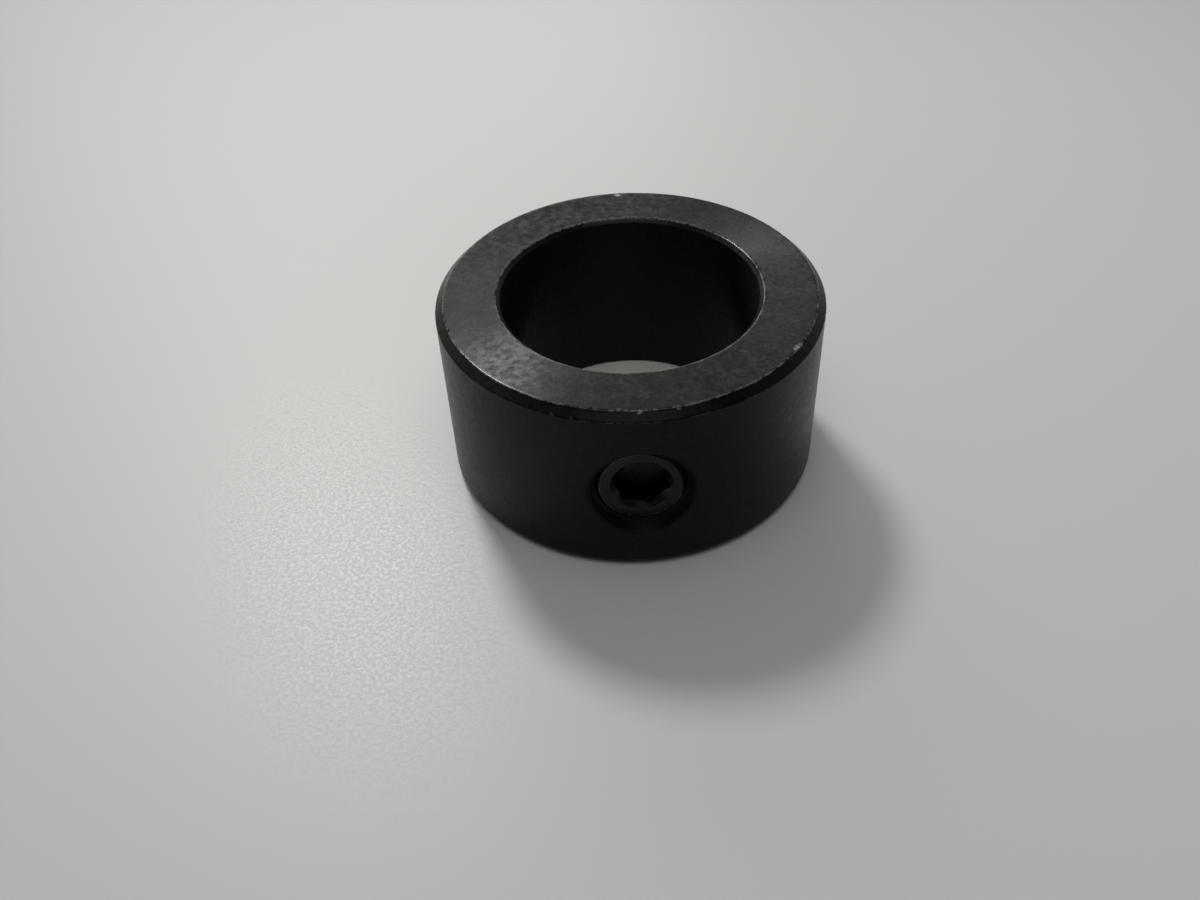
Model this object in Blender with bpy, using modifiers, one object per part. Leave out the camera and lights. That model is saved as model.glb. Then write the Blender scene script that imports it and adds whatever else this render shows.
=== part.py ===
"""Set-screw shaft collar for a 1 in shaft: a one-piece steel ring and the screw that locks it.

Metres, +Z up. The ring lies on one flat face at Z = 0, and its bore runs along Z. The tapped
hole points along -Y at half the ring's width. The set screw has its origin at its own middle,
on the hole's axis, with local +Z towards the hex socket and out of the ring.
Both threads are plain cylinders here: the ring's at the major diameter, the screw's 0.3 mm inside it.
"""

import math

import bmesh
import bpy

INCH = 0.0254

# Ring
BORE_DIAMETER = 1.0 * INCH
OUTER_DIAMETER = 1.5 * INCH
WIDTH = 0.75 * INCH
OUTER_CHAMFER = 0.0008
BORE_CHAMFER = 0.0004

# Tapped hole, 3/8-16 UNC
THREAD_DIAMETER = 0.375 * INCH
THREAD_PITCH = INCH / 16
COUNTERSINK_DIAMETER = 0.0102  # where a 90 degree countersink meets the ring's outermost line
HOLE_HEIGHT = WIDTH / 2

# Set screw, cup point
SCREW_LENGTH = 3 * THREAD_PITCH
SCREW_DIAMETER = THREAD_DIAMETER - 2 * 0.0003
SCREW_END_CHAMFER = 0.0006
TIP_SETBACK = 0.0003  # the tip stands this far outside the bore, so a shaft slides through
CUP_DIAMETER = 0.0047
CUP_DEPTH = 0.0009
SOCKET_ACROSS_FLATS = 3 / 16 * INCH
SOCKET_DEPTH = 0.0024

# Facets
RING_STEPS = 192
HOLE_STEPS = 72
OVERRUN = 0.002  # how far a cutter passes the face it opens

BORE_RADIUS = BORE_DIAMETER / 2
OUTER_RADIUS = OUTER_DIAMETER / 2
SCREW_MIDDLE_Y = -(BORE_RADIUS + TIP_SETBACK + SCREW_LENGTH / 2)


def clear_scene():
    for obj in list(bpy.data.objects):
        bpy.data.objects.remove(obj, do_unlink=True)


def make_collections():
    """One collection for the collar, and one for its cutters, which never render."""
    collar = bpy.data.collections.new("shaft_collar")
    cutters = bpy.data.collections.new("cutters")
    bpy.context.scene.collection.children.link(collar)
    bpy.context.scene.collection.children.link(cutters)
    cutters.hide_render = True
    return collar, cutters


def steel_material(name, colour, roughness):
    material = bpy.data.materials.new(name)
    material.use_nodes = True
    shader = material.node_tree.nodes["Principled BSDF"]
    shader.inputs["Base Color"].default_value = (*colour, 1.0)
    shader.inputs["Metallic"].default_value = 1.0
    shader.inputs["Roughness"].default_value = roughness
    return material


def turned_solid(name, profile, steps, closed, collection):
    """A solid of revolution about local Z from (radius, height) points, listed down its outside."""
    mesh = bpy.data.meshes.new(name)
    outline = bmesh.new()
    verts = [outline.verts.new((radius, 0.0, height)) for radius, height in profile]
    for first, second in zip(verts, verts[1:]):
        outline.edges.new((first, second))
    if closed:
        outline.edges.new((verts[-1], verts[0]))
    outline.to_mesh(mesh)
    outline.free()
    obj = bpy.data.objects.new(name, mesh)
    collection.objects.link(obj)
    turn = obj.modifiers.new("turn", "SCREW")
    turn.angle = 2 * math.pi
    turn.steps = steps
    turn.render_steps = steps
    turn.use_merge_vertices = True
    turn.merge_threshold = 0.000001
    return obj


def cut(obj, cutter):
    """Takes the cutter's shape out of obj."""
    cutter.hide_render = True
    cutter.display_type = "WIRE"
    boolean = obj.modifiers.new("cut_" + cutter.name, "BOOLEAN")
    boolean.operation = "DIFFERENCE"
    boolean.solver = "EXACT"
    boolean.object = cutter


def point_out_of_hole(obj, y):
    """Puts obj on the tapped hole's axis, with its local +Z along -Y."""
    obj.location = (0.0, y, HOLE_HEIGHT)
    obj.rotation_euler = (math.radians(90), 0.0, 0.0)


def shade_turned(obj):
    """Smooth sides and crisp edges at the chamfers."""
    bpy.context.view_layer.update()
    evaluated = obj.evaluated_get(bpy.context.evaluated_depsgraph_get())
    mesh = bpy.data.meshes.new_from_object(evaluated)
    obj.modifiers.clear()
    obj.data = mesh
    mesh.shade_smooth()
    mesh.set_sharp_from_angle(angle=math.radians(25))


def tapped_hole_cutter(collection):
    """The threaded hole's cylinder, opening into its countersink past the ring's outside."""
    hole_radius = THREAD_DIAMETER / 2
    countersink_radius = COUNTERSINK_DIAMETER / 2
    inner_end = BORE_RADIUS / 2
    flare = countersink_radius - hole_radius
    profile = [
        (0.0, OUTER_RADIUS + OVERRUN),
        (countersink_radius + OVERRUN, OUTER_RADIUS + OVERRUN),
        (hole_radius, OUTER_RADIUS - flare),
        (hole_radius, inner_end),
        (0.0, inner_end),
    ]
    cutter = turned_solid("tapped_hole_cutter", profile, HOLE_STEPS, False, collection)
    point_out_of_hole(cutter, 0.0)
    return cutter


def make_collar_ring(collection, cutters):
    """The one-piece ring, with chamfered faces and one radial tapped hole."""
    outer_flat = OUTER_RADIUS - OUTER_CHAMFER
    bore_flat = BORE_RADIUS + BORE_CHAMFER
    profile = [
        (outer_flat, WIDTH),
        (OUTER_RADIUS, WIDTH - OUTER_CHAMFER),
        (OUTER_RADIUS, OUTER_CHAMFER),
        (outer_flat, 0.0),
        (bore_flat, 0.0),
        (BORE_RADIUS, BORE_CHAMFER),
        (BORE_RADIUS, WIDTH - BORE_CHAMFER),
        (bore_flat, WIDTH),
    ]
    ring = turned_solid("collar_ring", profile, RING_STEPS, True, collection)
    cut(ring, tapped_hole_cutter(cutters))
    ring.data.materials.append(steel_material("black_oxide_ring", (0.030, 0.029, 0.027), 0.42))
    shade_turned(ring)
    return ring


def socket_cutter(collection):
    """The hex key's socket, open past the screw's outer end."""
    mesh = bpy.data.meshes.new("socket_cutter")
    hexagon = bmesh.new()
    bmesh.ops.create_cone(
        hexagon,
        cap_ends=True,
        segments=6,
        radius1=SOCKET_ACROSS_FLATS / math.sqrt(3),
        radius2=SOCKET_ACROSS_FLATS / math.sqrt(3),
        depth=SOCKET_DEPTH + OVERRUN,
    )
    middle = SCREW_LENGTH / 2 + (OVERRUN - SOCKET_DEPTH) / 2
    bmesh.ops.translate(hexagon, vec=(0.0, 0.0, middle), verts=hexagon.verts)
    hexagon.to_mesh(mesh)
    hexagon.free()
    cutter = bpy.data.objects.new("socket_cutter", mesh)
    collection.objects.link(cutter)
    point_out_of_hole(cutter, SCREW_MIDDLE_Y)
    return cutter


def make_set_screw(collection, cutters):
    """The headless screw, with chamfered ends, a cup point and a hex socket."""
    top = SCREW_LENGTH / 2
    radius = SCREW_DIAMETER / 2
    cup_radius = CUP_DIAMETER / 2
    tip_rise = radius - cup_radius - SCREW_END_CHAMFER
    profile = [
        (0.0, top),
        (radius - SCREW_END_CHAMFER, top),
        (radius, top - SCREW_END_CHAMFER),
        (radius, SCREW_END_CHAMFER + tip_rise / 2 - top),
        (cup_radius, -top),
        (0.0, CUP_DEPTH - top),
    ]
    screw = turned_solid("set_screw", profile, HOLE_STEPS, False, collection)
    point_out_of_hole(screw, SCREW_MIDDLE_Y)
    cut(screw, socket_cutter(cutters))
    screw.data.materials.append(steel_material("black_oxide_screw", (0.024, 0.023, 0.022), 0.36))
    shade_turned(screw)
    return screw


def main():
    clear_scene()
    collar, cutters = make_collections()
    make_collar_ring(collar, cutters)
    make_set_screw(collar, cutters)


main()
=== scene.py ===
import math

import bmesh
import bpy
from mathutils import Matrix, Vector, noise


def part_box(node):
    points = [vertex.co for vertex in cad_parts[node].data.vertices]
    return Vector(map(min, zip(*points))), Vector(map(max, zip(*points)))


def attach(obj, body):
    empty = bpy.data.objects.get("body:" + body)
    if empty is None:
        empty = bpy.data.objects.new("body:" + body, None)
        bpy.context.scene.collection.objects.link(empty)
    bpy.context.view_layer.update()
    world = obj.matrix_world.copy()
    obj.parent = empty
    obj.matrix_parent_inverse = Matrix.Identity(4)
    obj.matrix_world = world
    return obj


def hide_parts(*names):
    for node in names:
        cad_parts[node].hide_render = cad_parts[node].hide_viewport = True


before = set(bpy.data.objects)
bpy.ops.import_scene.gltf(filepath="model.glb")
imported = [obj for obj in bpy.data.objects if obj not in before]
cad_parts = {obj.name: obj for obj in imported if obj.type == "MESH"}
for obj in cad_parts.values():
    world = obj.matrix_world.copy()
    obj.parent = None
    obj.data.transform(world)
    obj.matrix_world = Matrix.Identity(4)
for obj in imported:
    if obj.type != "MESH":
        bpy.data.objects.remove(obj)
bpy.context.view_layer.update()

mm = 0.001
ringLow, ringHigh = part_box("collar_ring")
screwLow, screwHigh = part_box("set_screw")
outerRadius = ringHigh.x
boreRadius = min(math.hypot(v.co.x, v.co.y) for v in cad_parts["collar_ring"].data.vertices)
ringWidth = ringHigh.z
holeHeight = (screwLow.z + screwHigh.z) / 2
print("frame: ring %.2f mm across, %.2f mm wide" % (outerRadius * 2 / mm, ringWidth / mm))


# the camera stands in front and above, and leans a little
view = {
    "place": (-4.01 * mm, -92.3 * mm, 82.9 * mm),
    "tiltDown": 42.66,
    "turnRight": 0.25,
    "roll": 2.72,
    "fieldOfView": 55.56,
}


def makeCamera():
    lens = bpy.data.cameras.new("camera")
    lens.sensor_fit = "HORIZONTAL"
    lens.angle = math.radians(view["fieldOfView"])
    lens.clip_start = 1 * mm
    camera = bpy.data.objects.new("camera", lens)
    bpy.context.scene.collection.objects.link(camera)
    turn = Matrix.Rotation(math.radians(-view["turnRight"]), 4, "Z")
    tilt = Matrix.Rotation(math.radians(90 - view["tiltDown"]), 4, "X")
    roll = Matrix.Rotation(math.radians(-view["roll"]), 4, "Z")
    camera.matrix_world = Matrix.Translation(view["place"]) @ turn @ tilt @ roll
    bpy.context.scene.camera = camera


# turns a bmesh into an object in the scene
def addObject(name, shape):
    bmesh.ops.recalc_face_normals(shape, faces=shape.faces)
    mesh = bpy.data.meshes.new(name)
    shape.to_mesh(mesh)
    shape.free()
    obj = bpy.data.objects.new(name, mesh)
    bpy.context.scene.collection.objects.link(obj)
    return obj


# an outline of (radius, height) corners, each corner made into an arc
def roundedOutline(corners, radius, arcSteps, closed):
    points = []
    count = len(corners)
    mostShare = 0.45  # an arc never takes more of a side than this
    for i, corner in enumerate(corners):
        here = Vector(corner)
        if not closed and i in (0, count - 1):
            points.append(here)
            continue
        back = Vector(corners[i - 1]) - here
        ahead = Vector(corners[(i + 1) % count]) - here
        half = back.angle(ahead) / 2
        reach = min(radius / math.tan(half), back.length * mostShare, ahead.length * mostShare)
        start = here + back.normalized() * reach
        end = here + ahead.normalized() * reach
        middle = here + (back.normalized() + ahead.normalized()).normalized() * (reach / math.cos(half))
        first = start - middle
        sweep = first.angle_signed(end - middle)
        for step in range(arcSteps + 1):
            spin = Matrix.Rotation(-sweep * step / arcSteps, 2)
            points.append(middle + spin @ first)
    return points


# spins an outline about Z; an open outline starts and ends on the axis
def lathe(outline, steps, closed):
    shape = bmesh.new()
    rings = []
    for point in outline:
        if not closed and point in (outline[0], outline[-1]):
            rings.append([shape.verts.new((0, 0, point[1]))])
            continue
        ring = []
        for step in range(steps):
            angle = 2 * math.pi * step / steps
            place = (point[0] * math.cos(angle), point[0] * math.sin(angle), point[1])
            ring.append(shape.verts.new(place))
        rings.append(ring)
    pairs = list(zip(rings, rings[1:] + rings[:1])) if closed else list(zip(rings, rings[1:]))
    for upper, lower in pairs:
        for step in range(steps):
            after = (step + 1) % steps
            corners = [upper[step % len(upper)], lower[step % len(lower)]]
            corners += [lower[after % len(lower)], upper[after % len(upper)]]
            shape.faces.new(list(dict.fromkeys(corners)))
    return shape


thread = {
    "pitch": 25.4 / 16 * mm,
    "majorRadius": 4.78 * mm,
    "minorRadius": 3.84 * mm,
    "crest": 0.13,  # shares of the pitch
    "soft": 0.03,
    "ridgeMiddle": 0.6,
    "tail": 3.2 * mm,  # how far inside the bore's line the rod starts
    "over": 1 * mm,
    "steps": 96,
}


# a closed right-hand 60 degree thread along Z, longer than the ring's wall at both ends
def threadedRod(rootRadius, crestRadius):
    pitch = thread["pitch"]
    steps = thread["steps"]
    crest = thread["crest"]
    soft = thread["soft"]
    low = boreRadius - thread["tail"]
    high = outerRadius + thread["over"]
    flank = (crestRadius - rootRadius) * math.tan(math.radians(30)) / pitch
    root = 1 - crest - 2 * flank
    start = thread["ridgeMiddle"] - (root + flank + crest / 2)  # the same ridges on ring and screw
    section = [
        (0.0, rootRadius),
        (root - soft, rootRadius),
        (root + soft * 0.5, rootRadius + soft * 0.5 * pitch),
        (root + flank - soft * 0.5, crestRadius - soft * 0.5 * pitch),
        (root + flank + soft, crestRadius),
        (root + flank + crest - soft, crestRadius),
        (root + flank + crest + soft * 0.5, crestRadius - soft * 0.5 * pitch),
        (1 - soft * 0.5, rootRadius + soft * 0.5 * pitch),
    ]
    count = len(section)
    turns = math.ceil((high - low) / pitch) + 1
    total = turns * steps
    shape = bmesh.new()
    strip = []
    for t in range(total + steps + 1):
        angle = 2 * math.pi * t / steps
        base = low + pitch * (t / steps - 1 + start)
        points = section if t <= total else section[:1]
        strip.append([
            shape.verts.new((radius * math.cos(angle), radius * math.sin(angle), base + share * pitch))
            for share, radius in points
        ])
    for t in range(total + 1):
        strip[t].append(strip[t + steps][0])
    for t in range(total):
        for m in range(count):
            shape.faces.new((strip[t][m], strip[t + 1][m], strip[t + 1][m + 1], strip[t][m + 1]))
    lowLoop = [strip[t][0] for t in range(steps)] + strip[0][:0:-1]
    highLoop = strip[total][:] + [strip[t][0] for t in range(total + steps - 1, total, -1)]
    for loop, height in ((lowLoop, low - pitch * 0.5), (highLoop, low + pitch * (turns - 0.5))):
        centre = shape.verts.new((0, 0, height))
        for a, b in zip(loop, loop[1:] + loop[:1]):
            shape.faces.new((a, b, centre))
    return shape


# applies an exact Boolean and throws the other shape away
def boolean(obj, other, operation):
    step = obj.modifiers.new("shape", "BOOLEAN")
    step.operation = operation
    step.solver = "EXACT"
    step.object = other
    graph = bpy.context.evaluated_depsgraph_get()
    mesh = bpy.data.meshes.new_from_object(obj.evaluated_get(graph))
    obj.modifiers.clear()
    obj.data = mesh
    bpy.data.objects.remove(other)


sharpAngle = 28
weld = 0.002 * mm


# welds what the Booleans left apart, then shades smooth with crisp edges
def cleanShading(obj):
    tidy = bmesh.new()
    tidy.from_mesh(obj.data)
    bmesh.ops.remove_doubles(tidy, verts=tidy.verts, dist=weld)
    bmesh.ops.dissolve_degenerate(tidy, edges=tidy.edges, dist=weld / 2)
    bmesh.ops.recalc_face_normals(tidy, faces=tidy.faces)
    tidy.to_mesh(obj.data)
    tidy.free()
    obj.data.shade_smooth()
    obj.data.set_sharp_from_angle(angle=math.radians(sharpAngle))


# the tapped hole's own axes: local +Z runs out of the ring along -Y
holeAxes = Matrix.Translation((0, 0, holeHeight)) @ Matrix.Rotation(math.radians(90), 4, "X")

ring = {
    "outerChamfer": 0.8 * mm,
    "boreChamfer": 0.4 * mm,
    "edgeRadius": 0.22 * mm,
    "edgeSteps": 4,
    "steps": 720,
    "rowSteps": [0.09 * mm, 0.20 * mm, 0.35 * mm, 0.56 * mm, 0.85 * mm, 1.25 * mm],
    "countersinkRadius": 5.1 * mm,
    "countersinkSteps": 144,
    "reliefRadius": 4.80 * mm,
    "reliefDepth": 0.85 * mm,
    # azimuth from the hole towards +X, radius, height above the lower face, depth, reach, bare share
    "lip": 0.12,
    "dings": [
        (-179.0, 17.82, 19.05, 0.06, 0.44, 0.95),
        (53.4, 18.10, 19.05, 0.05, 0.30, 0.55),
        (54.6, 18.15, 19.05, 0.06, 0.32, 0.70),
        (55.8, 18.20, 19.05, 0.05, 0.28, 0.50),
        (-6.0, 18.05, 19.05, 0.04, 0.26, 0.14),
        (-0.5, 18.3, 19.0, 0.07, 0.32, 0.34),
        (10.0, 18.3, 19.0, 0.05, 0.28, 0.16),
        (-24.0, 19.0, 18.3, 0.05, 0.30, 0.12),
        (-18.5, 19.0, 18.3, 0.04, 0.28, 0.10),
        (112.0, 18.3, 19.05, 0.05, 0.32, 0.20),
        (-120.0, 18.3, 19.05, 0.05, 0.32, 0.20),
        (151.0, 18.95, 0.75, 0.07, 0.40, 0.30),
        (-96.0, 18.95, 0.70, 0.06, 0.35, 0.25),
    ],
}


def around(azimuth, radius, height):
    turn = math.radians(azimuth)
    return Vector((radius * mm * math.sin(turn), -radius * mm * math.cos(turn), height * mm))


def ringOutline():
    outerFlat = outerRadius - ring["outerChamfer"]
    boreFlat = boreRadius + ring["boreChamfer"]
    top = ringWidth
    corners = [
        (outerFlat, top),
        (outerRadius, top - ring["outerChamfer"]),
        (outerRadius, ring["outerChamfer"]),
        (outerFlat, 0.0),
        (boreFlat, 0.0),
        (boreRadius, ring["boreChamfer"]),
        (boreRadius, top - ring["boreChamfer"]),
        (boreFlat, top),
    ]
    return withRows(roundedOutline(corners, ring["edgeRadius"], ring["edgeSteps"], True))


# extra rows beside each corner, so that a nick's crease stays short
def withRows(outline):
    rows = []
    shortest = 0.7 * mm
    for here, ahead in zip(outline, outline[1:] + outline[:1]):
        rows.append(here)
        run = ahead - here
        if run.length < shortest or min(here.x, ahead.x) < boreRadius + ring["boreChamfer"] / 2:
            continue
        near = [step for step in ring["rowSteps"] if step < run.length * 0.48]
        rows += [here + run.normalized() * step for step in near]
        rows += [ahead - run.normalized() * step for step in reversed(near)]
    return rows


# presses each nick into the metal and raises a small lip round it
def dentRing(obj):
    marks = [(around(a, r, h), depth * mm, reach * mm) for a, r, h, depth, reach, bare in ring["dings"]]
    for vert in obj.data.vertices:
        place = vert.co.copy()
        outward = Vector((place.x, place.y, 0)).normalized()
        facing = Vector((0, 0, 1 if place.z > ringWidth / 2 else -1))
        push = (outward + facing).normalized()
        for centre, depth, reach in marks:
            away = (place - centre).length / reach
            if away > 1.5:
                continue
            rough = 1 + 0.4 * noise.noise(place * 4000)
            pit = max(0.0, 1 - away * away) ** 2
            lip = ring["lip"] * math.exp(-((away - 1.1) / 0.3) ** 2)
            vert.co -= push * depth * rough * (pit - lip)


# the countersink, then a short plain mouth before the thread begins
def countersinkShape():
    over = 3 * mm
    mouth = ring["countersinkRadius"]
    relief = ring["reliefRadius"]
    drill = 2 * mm
    reliefEnd = outerRadius - ring["reliefDepth"]
    coneEnd = reliefEnd - (relief - drill)
    return lathe([
        (0, outerRadius + over),
        (mouth + over, outerRadius + over),
        (relief, outerRadius - (mouth - relief)),
        (relief, reliefEnd),
        (drill, coneEnd),
        (0, coneEnd),
    ], ring["countersinkSteps"], False)


def makeRing():
    body = addObject("ringBody", lathe(ringOutline(), ring["steps"], True))
    dentRing(body)
    countersink = addObject("countersink", countersinkShape())
    countersink.matrix_world = holeAxes
    boolean(body, countersink, "DIFFERENCE")
    tapTool = addObject("tapTool", threadedRod(thread["minorRadius"], thread["majorRadius"]))
    tapTool.matrix_world = holeAxes
    boolean(body, tapTool, "DIFFERENCE")
    cleanShading(body)
    print("ring: %d faces" % len(body.data.polygons))
    return body


screw = {
    "crestRadius": 4.70 * mm,
    "rootRadius": 3.72 * mm,
    "endChamfer": 0.75 * mm,
    "cupRadius": 2.35 * mm,
    "cupDepth": 0.9 * mm,
    "socketFlats": 3 / 16 * 25.4 * mm,
    "socketDepth": 2.4 * mm,
    "socketLead": 0.18 * mm,
    "socketTurn": 17,
    "drillShare": 0.47,
    "edgeRadius": 0.06 * mm,
    "steps": 144,
    "socketSteps": 96,
}


# the turned blank: a flat socket end and a cup point, both chamfered to the thread's root
def screwEnvelope(inner, outer):
    crest = screw["crestRadius"] + 0.02 * mm
    chamfer = screw["endChamfer"]
    cup = screw["cupRadius"]
    rise = (crest - cup - 0.15 * mm) * 0.75  # the point's cone is a little blunter than 45 degrees
    corners = [
        (0, outer),
        (crest - chamfer, outer),
        (crest, outer - chamfer),
        (crest, inner + rise),
        (cup + 0.15 * mm, inner),
        (cup - 0.05 * mm, inner),
        (0, inner + screw["cupDepth"]),
    ]
    return lathe(roundedOutline(corners, screw["edgeRadius"], 3, False), screw["steps"], False)


# the hex socket with a short lead-in and a drilled floor
def socketShape(outer):
    steps = screw["socketSteps"]
    corner = screw["socketFlats"] / math.sqrt(3)
    lead = screw["socketLead"]
    floor = outer - screw["socketDepth"]
    over = 1 * mm
    shape = bmesh.new()
    bmesh.ops.create_cone(shape, cap_ends=True, segments=6, radius1=corner, radius2=corner,
                          depth=screw["socketDepth"] + over)
    bmesh.ops.translate(shape, vec=(0, 0, (floor + outer + over) / 2), verts=shape.verts)
    turn = Matrix.Rotation(math.radians(screw["socketTurn"]), 3, "Z")
    bmesh.ops.rotate(shape, cent=(0, 0, 0), matrix=turn, verts=shape.verts)
    hexagon = addObject("socketHex", shape)

    leadEnd = outer - (corner * 0.5 + lead)
    leadIn = lathe([
        (0, outer + over),
        (corner + lead + over, outer + over),
        (corner * 0.5, leadEnd),
        (0, leadEnd),
    ], steps, False)

    drillRadius = screw["socketFlats"] * screw["drillShare"]
    drill = lathe([
        (0, floor + 0.2 * mm),
        (drillRadius, floor + 0.2 * mm),
        (drillRadius, floor - 0.1 * mm),
        (0, floor - 0.45 * mm),
    ], steps, False)
    return hexagon, addObject("socketLeadIn", leadIn), addObject("socketDrill", drill)


def makeScrew():
    inner, outer = -screwHigh.y, -screwLow.y
    body = addObject("screwBody", threadedRod(screw["rootRadius"], screw["crestRadius"]))
    boolean(body, addObject("screwBlank", screwEnvelope(inner, outer)), "INTERSECT")
    for cutter in socketShape(outer):
        boolean(body, cutter, "DIFFERENCE")
    body.data.transform(holeAxes)
    cleanShading(body)
    print("screw: %d faces" % len(body.data.polygons))
    return body


def startMaterial(name):
    material = bpy.data.materials.new(name)
    material.use_nodes = True
    tree = material.node_tree
    return material, tree, tree.nodes["Principled BSDF"]


def feed(tree, value, socket):
    if isinstance(value, bpy.types.NodeSocket):
        tree.links.new(value, socket)
    else:
        socket.default_value = value


def calc(tree, operation, *values, clamp=False):
    node = tree.nodes.new("ShaderNodeMath")
    node.operation = operation
    node.use_clamp = clamp
    for value, socket in zip(values, node.inputs):
        feed(tree, value, socket)
    return node.outputs[0]


# eases value from low..high to toLow..toHigh
def spread(tree, value, low, high, toLow=0.0, toHigh=1.0):
    node = tree.nodes.new("ShaderNodeMapRange")
    node.interpolation_type = "SMOOTHSTEP"
    for number, socket in zip((value, low, high, toLow, toHigh), node.inputs):
        feed(tree, number, socket)
    return node.outputs[0]


def grain(tree, vector, scale, detail=3.0, rough=0.5):
    node = tree.nodes.new("ShaderNodeTexNoise")
    tree.links.new(vector, node.inputs["Vector"])
    node.inputs["Scale"].default_value = scale
    node.inputs["Detail"].default_value = detail
    node.inputs["Roughness"].default_value = rough
    return node.outputs["Fac"]


def tint(tree, share, first, second):
    node = tree.nodes.new("ShaderNodeMix")
    node.data_type = "RGBA"
    feed(tree, share, node.inputs[0])
    for colour, socket in ((first, node.inputs[6]), (second, node.inputs[7])):
        feed(tree, colour if isinstance(colour, bpy.types.NodeSocket) else (*colour, 1.0), socket)
    return node.outputs[2]


def join(tree, x, y, z):
    node = tree.nodes.new("ShaderNodeCombineXYZ")
    for value, socket in zip((x, y, z), node.inputs):
        feed(tree, value, socket)
    return node.outputs[0]


# the point on the piece, and its x, y and z
def placeOf(tree):
    spot = tree.nodes.new("ShaderNodeTexCoord").outputs["Object"]
    split = tree.nodes.new("ShaderNodeSeparateXYZ")
    tree.links.new(spot, split.inputs[0])
    return spot, split.outputs[0], split.outputs[1], split.outputs[2]


def times(tree, a, b):
    return calc(tree, "MULTIPLY", a, b)


def length(tree, a, b):
    return calc(tree, "SQRT", calc(tree, "ADD", times(tree, a, a), times(tree, b, b)))


def surfaceHeight(tree, shader, height, depth):
    bump = tree.nodes.new("ShaderNodeBump")
    bump.inputs["Strength"].default_value = 1.0
    bump.inputs["Distance"].default_value = depth
    tree.links.new(height, bump.inputs["Height"])
    tree.links.new(bump.outputs[0], shader.inputs["Normal"])


def addUp(tree, parts):
    total = parts[0]
    for part in parts[1:]:
        total = calc(tree, "ADD", total, part)
    return total


def largest(tree, parts):
    total = parts[0]
    for part in parts[1:]:
        total = calc(tree, "MAXIMUM", total, part)
    return total


oxide = {
    "dark": (0.0012, 0.0012, 0.0011),
    "pale": (0.0055, 0.0054, 0.0050),
    "speck": (0.042, 0.041, 0.038),
    # the bore's film is paler than the rest: painted light that lifts the shade inside the bore
    "bore": (0.010, 0.0094, 0.0080),
    "bare": (0.36, 0.35, 0.32),
    "roughness": 0.405,
    "rub": 0.10 * mm,
    "rubShare": 0.24,
    "rubShine": 0.55,
    "burnish": 0.16,
    "specular": 0.18,
    "stretch": 0.88,  # how far the turning marks draw highlights out
    "grooveDepth": 0.005 * mm,
    "broadGrain": 420,  # grains and marks to the metre
    "cloudGrain": 1500,
    "speckGrain": 2300,
    "nickGrain": 2600,
    "fineGrain": 7000,
    "facingMarks": 9000,
    "facingBands": 1300,
    "turningMarks": 7000,
    "streaksUp": 60,
    "streaksRound": 16,
}


# how far the ring's corners are burnished, and how far the oxide has rubbed through there
def edgeWear(tree, radius, height, rubNoise):
    half = calc(tree, "ABSOLUTE", calc(tree, "SUBTRACT", height, ringWidth / 2))
    top = ringWidth / 2
    corners = [
        (outerRadius - ring["outerChamfer"], top, 1.0),
        (outerRadius, top - ring["outerChamfer"], 0.3),
        (boreRadius + ring["boreChamfer"], top, 1.0),
    ]
    burnished, rubbed = [], []
    for cornerRadius, cornerHeight, strength in corners:
        outBy = calc(tree, "SUBTRACT", radius, cornerRadius)
        upBy = calc(tree, "SUBTRACT", half, cornerHeight)
        away = length(tree, outBy, upBy)
        reach = times(tree, rubNoise, oxide["rub"] * 2 * strength)
        rubbed.append(spread(tree, calc(tree, "DIVIDE", away, reach), 1.0, 0.3))
        burnished.append(spread(tree, away, 0.30 * mm, 0.14 * mm, 0.0, strength))
    return largest(tree, burnished), times(tree, largest(tree, rubbed), oxide["rubShare"])


# bright metal in each nick
def nickRub(tree, spot, speckle):
    found = []
    for azimuth, radius, height, depth, reach, bare in ring["dings"]:
        gap = tree.nodes.new("ShaderNodeVectorMath")
        gap.operation = "DISTANCE"
        tree.links.new(spot, gap.inputs[0])
        gap.inputs[1].default_value = around(azimuth, radius, height)
        size = times(tree, speckle, reach * mm * 1.5)
        share = calc(tree, "DIVIDE", gap.outputs["Value"], size)
        found.append(times(tree, spread(tree, share, 1.0, 0.35), bare))
    return largest(tree, found)


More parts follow.
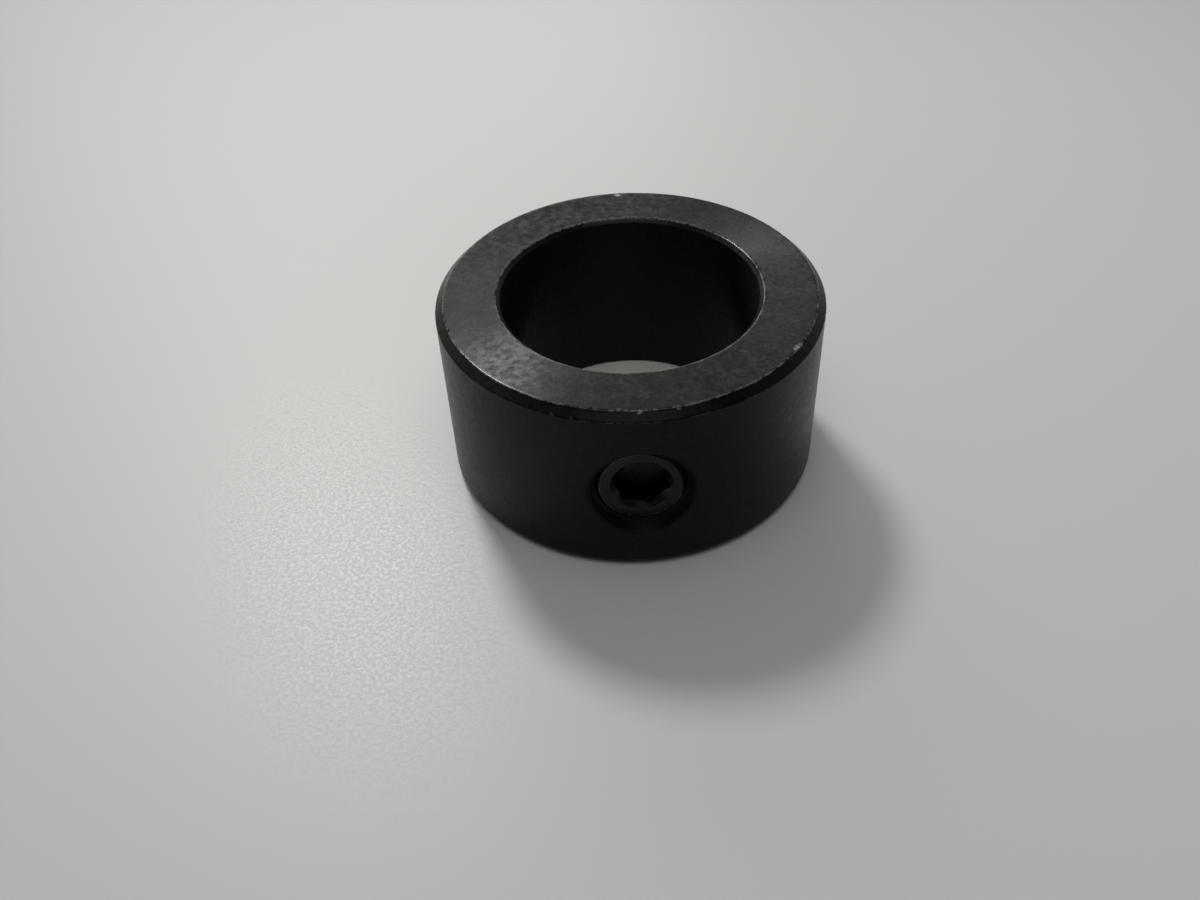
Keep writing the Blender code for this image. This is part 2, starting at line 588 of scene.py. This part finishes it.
def ringMaterial():
    material, tree, shader = startMaterial("blackOxideRing")
    spot, x, y, z = placeOf(tree)
    radius = length(tree, x, y)
    acrossX = calc(tree, "DIVIDE", x, radius)
    acrossY = calc(tree, "DIVIDE", y, radius)
    holeRadius = length(tree, x, calc(tree, "SUBTRACT", z, holeHeight))
    nearHole = spread(tree, holeRadius, ring["countersinkRadius"] - 0.1 * mm, ring["reliefRadius"])
    inHole = times(tree, nearHole, calc(tree, "LESS_THAN", y, 0.0))
    mouthEdge = ring["countersinkRadius"]
    nearMouth = spread(tree, holeRadius, mouthEdge + 0.06 * mm, mouthEdge - 0.04 * mm)
    inMouth = times(tree, nearMouth, calc(tree, "LESS_THAN", y, -(outerRadius - 1.3 * mm)))
    offMiddle = calc(tree, "ABSOLUTE", calc(tree, "SUBTRACT", z, ringWidth / 2))
    onFace = spread(tree, offMiddle, ringWidth / 2 - 0.15 * mm, ringWidth / 2 - 0.05 * mm)
    onWall = calc(tree, "SUBTRACT", 1.0, onFace)

    broad = grain(tree, spot, oxide["broadGrain"], 3, 0.55)
    cloud = grain(tree, spot, oxide["cloudGrain"], 4, 0.6)
    fine = grain(tree, spot, oxide["fineGrain"], 2, 0.6)
    speckle = spread(tree, grain(tree, spot, oxide["nickGrain"], 3, 0.65), 0.3, 0.7, 0.35, 1.0)
    specks = grain(tree, spot, oxide["speckGrain"], 3, 0.75)
    rubNoise = addUp(tree, [
        times(tree, broad, 0.35),
        times(tree, cloud, 0.30),
        times(tree, specks, 0.35),
    ])
    rubNoise = spread(tree, rubNoise, 0.42, 0.62, 0.04, 1.1)

    # facing marks run round the flat faces, turning marks round the wall and the bore
    faceLines = join(tree, times(tree, radius, oxide["facingMarks"]), acrossX, acrossY)
    faceMarks = grain(tree, faceLines, 1.0, 2, 0.6)
    faceRings = join(tree, times(tree, radius, oxide["facingBands"]), acrossX, acrossY)
    faceBands = grain(tree, faceRings, 1.0, 3, 0.6)
    wallLines = join(tree, times(tree, z, oxide["turningMarks"]), acrossX, acrossY)
    wallMarks = grain(tree, wallLines, 1.0, 2, 0.6)
    streaksX = times(tree, acrossX, oxide["streaksRound"])
    streaksY = times(tree, acrossY, oxide["streaksRound"])
    wallStreaks = grain(tree, join(tree, times(tree, z, oxide["streaksUp"]), streaksX, streaksY), 1.0, 4, 0.6)

    burnish, edgeBare = edgeWear(tree, radius, z, rubNoise)
    rub = largest(tree, [edgeBare, nickRub(tree, spot, speckle)])
    rub = calc(tree, "MULTIPLY", rub, calc(tree, "SUBTRACT", 1.0, inHole), clamp=True)

    mottle = addUp(tree, [
        times(tree, broad, 0.35),
        times(tree, cloud, 0.30),
        times(tree, faceBands, times(tree, onFace, 0.35)),
        times(tree, wallStreaks, times(tree, onWall, 0.35)),
    ])
    # painted shade: the walls take less of the paler film than the faces, so they stay darker
    faceShare = spread(tree, onFace, 0.0, 1.0, 0.4, 1.0)
    paler = times(tree, spread(tree, mottle, 0.38, 0.68), faceShare)
    film = tint(tree, paler, oxide["dark"], oxide["pale"])
    # painted light: the bore gets a paler film so that its shade reads lighter
    inBore = spread(tree, radius, boreRadius + 0.15 * mm, boreRadius + 0.05 * mm)
    film = tint(tree, times(tree, inBore, 0.8), film, oxide["bore"])
    inPatches = spread(tree, broad, 0.3, 0.7, 0.3, 1.0)
    salted = times(tree, spread(tree, specks, 0.36, 0.76), inPatches)
    salted = times(tree, salted, spread(tree, onFace, 0.0, 1.0, 0.12, 1.0))
    film = tint(tree, salted, film, oxide["speck"])
    tree.links.new(tint(tree, rub, film, oxide["bare"]), shader.inputs["Base Color"])
    tree.links.new(times(tree, rub, oxide["rubShine"]), shader.inputs["Metallic"])

    blotches = spread(tree, cloud, 0.32, 0.68, -0.5, 0.5)
    rough = addUp(tree, [
        oxide["roughness"],
        times(tree, blotches, spread(tree, onFace, 0.0, 1.0, 0.07, 0.22)),
        times(tree, onWall, -0.10),
        times(tree, calc(tree, "SUBTRACT", fine, 0.5), 0.12),
        times(tree, calc(tree, "SUBTRACT", specks, 0.5), spread(tree, onFace, 0.0, 1.0, 0.06, 0.20)),
        times(tree, inHole, 0.02),
        times(tree, inMouth, 0.30),
        times(tree, burnish, -oxide["burnish"]),
    ])
    tree.links.new(rough, shader.inputs["Roughness"])
    shader.inputs["Anisotropic"].default_value = oxide["stretch"]
    shader.inputs["Anisotropic Rotation"].default_value = 0.25
    shader.inputs["Specular IOR Level"].default_value = oxide["specular"]
    tangent = tree.nodes.new("ShaderNodeTangent")
    tangent.direction_type = "RADIAL"
    tangent.axis = "Z"
    tree.links.new(tangent.outputs[0], shader.inputs["Tangent"])

    height = addUp(tree, [
        times(tree, faceMarks, times(tree, onFace, 0.5)),
        times(tree, faceBands, times(tree, onFace, 0.9)),
        times(tree, wallMarks, times(tree, onWall, 0.5)),
        times(tree, cloud, 0.7),
        times(tree, specks, 0.8),
        times(tree, fine, 0.5),
    ])
    surfaceHeight(tree, shader, height, oxide["grooveDepth"])
    return material


screwOxide = {
    "specular": 0.35,
    "rubShare": 0.45,
    "grainDepth": 0.004 * mm,
    "cloudGrain": 2200,
    "fineGrain": 9000,
    "turningMarks": 8000,
}


def screwMaterial():
    material, tree, shader = startMaterial("blackOxideScrew")
    spot, x, y, z = placeOf(tree)
    radius = length(tree, x, calc(tree, "SUBTRACT", z, holeHeight))
    cloud = grain(tree, spot, screwOxide["cloudGrain"], 4, 0.6)
    fine = grain(tree, spot, screwOxide["fineGrain"], 2, 0.6)
    turned = grain(tree, join(tree, times(tree, radius, screwOxide["turningMarks"]), 0.0, 0.0), 1.0, 2, 0.6)
    endFace = spread(tree, y, screwLow.y + 0.12 * mm, screwLow.y + 0.04 * mm)
    rim = screw["crestRadius"] - screw["endChamfer"]
    rimAway = calc(tree, "ABSOLUTE", calc(tree, "SUBTRACT", radius, rim))
    rub = times(tree, spread(tree, rimAway, 0.10 * mm, 0.02 * mm), endFace)
    rub = times(tree, rub, spread(tree, cloud, 0.36, 0.66, 0.0, screwOxide["rubShare"]))
    film = tint(tree, spread(tree, cloud, 0.3, 0.7), oxide["dark"], oxide["pale"])
    tree.links.new(tint(tree, rub, film, oxide["bare"]), shader.inputs["Base Color"])
    tree.links.new(rub, shader.inputs["Metallic"])
    tree.links.new(spread(tree, fine, 0.3, 0.7, 0.24, 0.36), shader.inputs["Roughness"])
    shader.inputs["Specular IOR Level"].default_value = screwOxide["specular"]
    height = addUp(tree, [
        times(tree, turned, endFace),
        times(tree, cloud, 0.8),
        times(tree, fine, 0.4),
    ])
    surfaceHeight(tree, shader, height, screwOxide["grainDepth"])
    return material


table = {
    "size": 12.0,
    "colour": (0.60, 0.602, 0.595),
    # the cooler tint painted towards the lower right, standing in for cooler light there
    "coolColour": (0.55, 0.558, 0.60),
    # painted shade: the table darkens away from a point near the ring, as the light falls off
    "paintedShadeFactor": 0.74,
    "paintedShadeCentre": (0.02, 0.03),
    "paintedShadeFrom": 0.04,
    "paintedShadeFull": 0.22,
    "grainSize": 0.36 * mm,
    "grainDepth": 0.0055 * mm,
    "specular": 0.2,
}

light = {
    "keyFrom": (-0.24, 0.625, 0.743),
    "keyDistance": 0.8,
    "keySize": 0.15,
    "keyPower": 3.1,
    "keyColour": (1.0, 0.985, 0.96),
    "ceilingFrom": (0.0, -0.26, 0.97),
    "ceilingDistance": 0.6,
    "ceilingSize": 0.5,
    "ceilingPower": 0.95,
    "ceilingColour": (1.0, 0.95, 0.86),
    "backFrom": (-0.20, 0.9, 0.42),
    "backDistance": 1.0,
    "backSize": (0.64, 0.40),
    "backPower": 1.85,
    "backColour": (0.97, 0.985, 1.0),
    "skyFront": 0.06,
    "skyBack": 0.34,
    "skyColour": (0.93, 0.96, 1.0),
}


def makeTable():
    shape = bmesh.new()
    bmesh.ops.create_grid(shape, x_segments=4, y_segments=4, size=table["size"] / 2)
    top = addObject("tableTop", shape)
    material, tree, shader = startMaterial("paleLaminate")
    spot, x, y, z = placeOf(tree)
    grainy = grain(tree, spot, 1 / table["grainSize"], 2, 0.5)
    # painted light: a cooler tint towards the lower right, standing in for cooler light there
    coolLightShare = spread(tree, calc(tree, "SUBTRACT", x, y), -0.05, 0.12)
    colour = tint(tree, coolLightShare, table["colour"], table["coolColour"])
    # painted shade: darker and cooler with distance from a point near the ring, where the light falls off
    centreX, centreY = table["paintedShadeCentre"]
    paintedShade = length(tree, calc(tree, "SUBTRACT", x, centreX), calc(tree, "SUBTRACT", y, centreY))
    paintedShade = spread(tree, paintedShade, table["paintedShadeFrom"], table["paintedShadeFull"])
    paintedShadeColour = tuple(part * table["paintedShadeFactor"] for part in table["coolColour"])
    tree.links.new(tint(tree, paintedShade, colour, paintedShadeColour), shader.inputs["Base Color"])
    tree.links.new(spread(tree, grainy, 0.3, 0.7, 0.32, 0.48), shader.inputs["Roughness"])
    shader.inputs["Specular IOR Level"].default_value = table["specular"]
    surfaceHeight(tree, shader, grainy, table["grainDepth"])
    top.data.materials.append(material)


def areaLight(name, direction, distance, size, power, colour):
    lamp = bpy.data.lights.new(name, "AREA")
    if isinstance(size, tuple):
        lamp.shape = "RECTANGLE"
        lamp.size, lamp.size_y = size
    else:
        lamp.shape = "DISK"
        lamp.size = size
    lamp.energy = power
    lamp.color = colour
    obj = bpy.data.objects.new(name, lamp)
    bpy.context.scene.collection.objects.link(obj)
    towards = Vector(direction).normalized()
    obj.location = towards * distance
    obj.rotation_euler = towards.to_track_quat("Z", "Y").to_euler()


def makeLight():
    for name in ("key", "ceiling", "back"):
        areaLight(name + "Light", light[name + "From"], light[name + "Distance"], light[name + "Size"],
                  light[name + "Power"], light[name + "Colour"])
    world = bpy.data.worlds.new("studio")
    world.use_nodes = True
    tree = world.node_tree
    sky = tree.nodes["Background"]
    sky.inputs["Color"].default_value = (*light["skyColour"], 1.0)
    split = tree.nodes.new("ShaderNodeSeparateXYZ")  # the room is darker on the camera's side
    tree.links.new(tree.nodes.new("ShaderNodeTexCoord").outputs["Generated"], split.inputs[0])
    strength = spread(tree, split.outputs[1], -0.6, 0.6, light["skyFront"], light["skyBack"])
    tree.links.new(strength, sky.inputs["Strength"])
    bpy.context.scene.world = world
    bpy.context.scene.view_settings.view_transform = "Standard"


makeCamera()
makeTable()
makeLight()
print("stage ready")

ringBody = makeRing()
ringBody.data.materials.append(ringMaterial())
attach(ringBody, "collar")
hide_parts("collar_ring")

screwBody = makeScrew()
screwBody.data.materials.append(screwMaterial())
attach(screwBody, "screw")
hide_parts("set_screw")
print("pieces ready")

bpy.context.view_layer.update()
